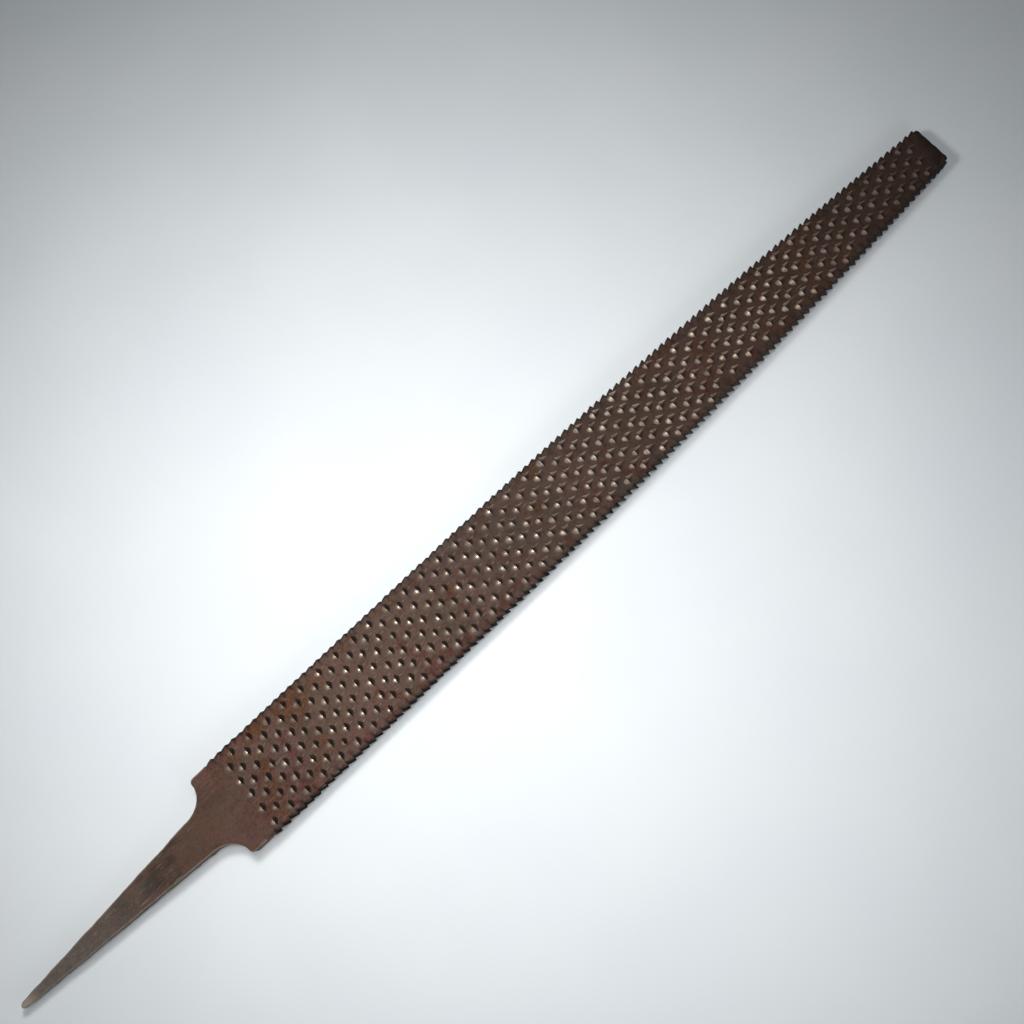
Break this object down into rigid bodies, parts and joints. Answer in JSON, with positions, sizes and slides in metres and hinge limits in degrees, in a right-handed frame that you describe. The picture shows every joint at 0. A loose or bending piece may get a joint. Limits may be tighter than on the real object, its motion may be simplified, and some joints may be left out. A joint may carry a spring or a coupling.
{
  "type": "flat rasp",
  "caption": "Flat rasp: a forged steel blade with punched teeth on both faces and saw teeth along both edges, a plain heel and a tapered tang for a handle.",
  "frame": {"origin": "on the axis at the shoulder line, halfway through the thickness", "axes": "+X along the blade towards the tip, +Y across the width, +Z out of the upper toothed face; the tang runs along -X"},
  "size_m": [0.317, 0.0242, 0.0074],
  "materials": {
    "tang_steel": "dark worn forged steel with bare metal at the point",
    "heel_steel": "dark smooth steel with thin rust",
    "blade_steel": "rusted punched steel with worn bright tooth tops"
  },
  "bodies": {
    "root": {"tang": "tang_steel", "heel": "heel_steel", "blade": "blade_steel", "point": "blade_steel"}
  },
  "joints": []
}
